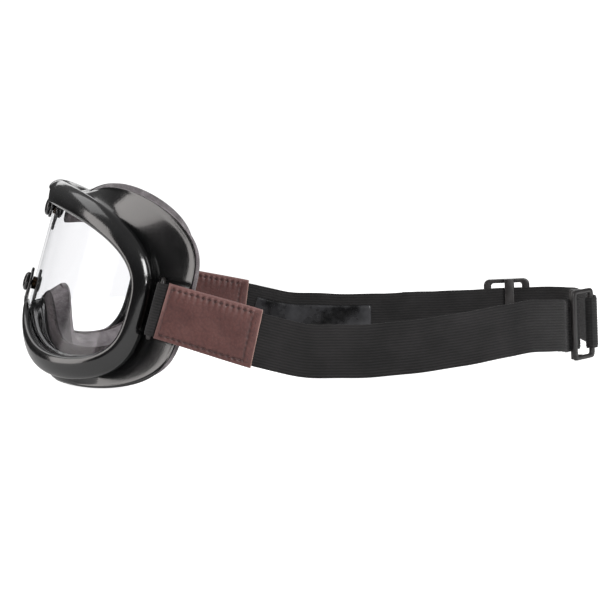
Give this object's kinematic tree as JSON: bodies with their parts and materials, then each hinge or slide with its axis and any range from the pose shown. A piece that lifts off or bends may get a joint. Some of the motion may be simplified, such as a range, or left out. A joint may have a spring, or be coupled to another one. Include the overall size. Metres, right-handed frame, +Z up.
{
  "type": "motorcycle goggles",
  "caption": "Retro riding goggles with a bent clear lens in a soft black frame, snap tongues, foam face seal, leather sleeves and an elastic head strap with buckle and slider.",
  "frame": {"origin": "middle of the bounding box's underside, on the ground that the goggles and the rear buckle rest on", "axes": "+Z up, -Y to the front of the goggles, +X to the wearer's left"},
  "size_m": [0.1712, 0.2838, 0.0982],
  "materials": {
    "frame_rubber": "glossy",
    "lens_clear": "glossy",
    "face_foam": "matte",
    "foam_facing": "matte",
    "tongue_rubber": "satin",
    "snap_cap": "glossy",
    "snap_metal": "satin",
    "strap_post": "satin",
    "leather": "satin",
    "thread": "matte",
    "elastic": "matte",
    "grip": "glossy",
    "buckle": "glossy"
  },
  "bodies": {
    "goggles": {"frame": "frame_rubber", "lens": "lens_clear", "face_foam": "face_foam", "foam_facing": "foam_facing", "top_snap_stud": "snap_metal", "top_stud_tab": "tongue_rubber", "nose_snap_stud": "snap_metal", "nose_stud_tab": "tongue_rubber", "left_strap_post": "strap_post", "right_strap_post": "strap_post", "left_leather_outer": "leather", "left_leather_inner": "leather", "left_leather_stitches": "thread", "right_leather_outer": "leather", "right_leather_inner": "leather", "right_leather_stitches": "thread", "left_strap": "elastic", "right_strap": "elastic", "left_grip_strip": "grip", "right_grip_strip": "grip", "rear_buckle": "buckle"},
    "upper_flap": {"top_tongue": "tongue_rubber", "top_snap_cap": "snap_cap", "top_snap_socket": "snap_metal"},
    "nose_flap": {"nose_tongue": "tongue_rubber", "nose_snap_cap": "snap_cap", "nose_snap_socket": "snap_metal"},
    "slider": {"strap_slider": "buckle"}
  },
  "joints": [
    {"name": "upper_flap_hinge", "type": "hinge", "parent": "goggles", "child": "upper_flap", "pos_m": [0, -0.12376, 0.09021], "axis": [-1, 0, 0], "range_deg": [0, 40]},
    {"name": "nose_flap_hinge", "type": "hinge", "parent": "goggles", "child": "nose_flap", "pos_m": [0, -0.13993, 0.04162], "axis": [1, 0, 0], "range_deg": [0, 40]},
    {"name": "strap_adjust", "type": "slide", "parent": "goggles", "child": "slider", "axis": [0, -1, 0], "range_m": [0, 0.036]}
  ]
}
